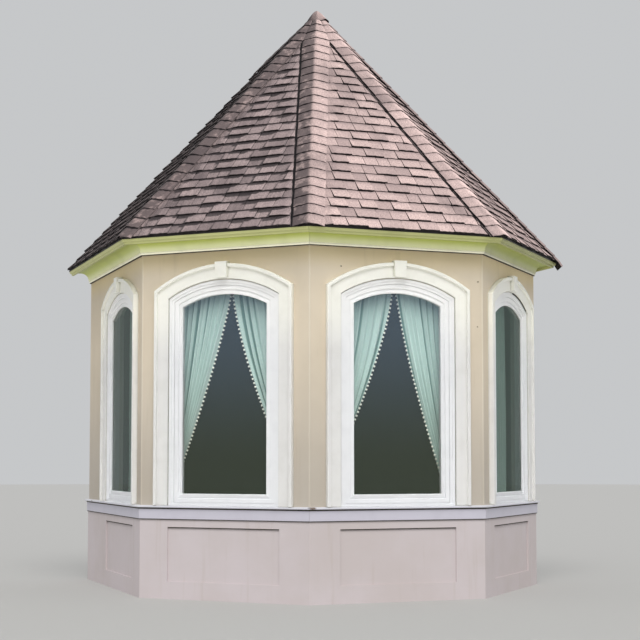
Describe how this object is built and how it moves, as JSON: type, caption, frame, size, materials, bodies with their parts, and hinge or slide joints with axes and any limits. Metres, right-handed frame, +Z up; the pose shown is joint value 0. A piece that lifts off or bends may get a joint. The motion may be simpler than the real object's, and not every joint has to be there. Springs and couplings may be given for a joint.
{
  "type": "bay window",
  "caption": "Octagonal turret bay of stuccoed walls with tall segment-headed windows, moulded casings, cove cornice and a steep shingled roof, cut off at the house wall.",
  "frame": {"origin": "on the ground at the middle of the octagon, straight below the point of the roof, on the underside of the floor", "axes": "+Z up, -Y to the front corner of the bay, +Y to the house, +X to the right seen from the front"},
  "size_m": [4.8535, 2.8232, 5.564],
  "materials": {
    "wall_stucco": "smooth floated stucco, beige",
    "base_stucco": "smooth stucco, pinkish beige, grimy near the ground",
    "painted_trim": "satin white paint",
    "cornice_paint": "satin cream paint",
    "sill_paint": "weathered white paint",
    "window_paint": "gloss white paint",
    "window_glass": "clear insulating glass, polished",
    "roof_shingle": "mineral-surfaced asphalt shingle, matt mauve brown",
    "drip_metal": "dark brown paint",
    "curtain_cloth": "soft plain weave, sage green",
    "rod_brass": "brushed brass",
    "floor_concrete": "trowelled concrete",
    "ceiling_board": "painted plasterboard, matt",
    "gable_board": "rough sheathing boards"
  },
  "bodies": {
    "root": {"wall_left": "wall_stucco", "wall_front_left": "wall_stucco", "wall_front_right": "wall_stucco", "wall_right": "wall_stucco", "wall_return": "wall_stucco", "base_left": "base_stucco", "base_front_left": "base_stucco", "base_front_right": "base_stucco", "base_right": "base_stucco", "base_return": "base_stucco", "apron_boards": "sill_paint", "sill_boards": "sill_paint", "casing_left": "painted_trim", "casing_front_left": "painted_trim", "casing_front_right": "painted_trim", "casing_right": "painted_trim", "keystones": "painted_trim", "window_frame_left": "window_paint", "window_frame_front_left": "window_paint", "window_frame_front_right": "window_paint", "window_frame_right": "window_paint", "sash_left": "window_paint", "sash_front_left": "window_paint", "sash_front_right": "window_paint", "sash_right": "window_paint", "glass_left": "window_glass", "glass_front_left": "window_glass", "glass_front_right": "window_glass", "glass_right": "window_glass", "bed_mould": "cornice_paint", "soffit": "cornice_paint", "fascia": "cornice_paint", "drip_edge": "drip_metal", "roof_left": "roof_shingle", "roof_front_left": "roof_shingle", "roof_front_right": "roof_shingle", "roof_right": "roof_shingle", "roof_return": "roof_shingle", "roof_back_right": "roof_shingle", "roof_back_left": "roof_shingle", "hip_caps": "roof_shingle", "apex_cap": "roof_shingle", "floor": "floor_concrete", "ceiling": "ceiling_board", "gable_back": "gable_board", "curtain_rods": "rod_brass", "curtains_left": "curtain_cloth", "curtains_front_left": "curtain_cloth", "curtains_front_right": "curtain_cloth", "curtains_right": "curtain_cloth"}
  },
  "joints": []
}
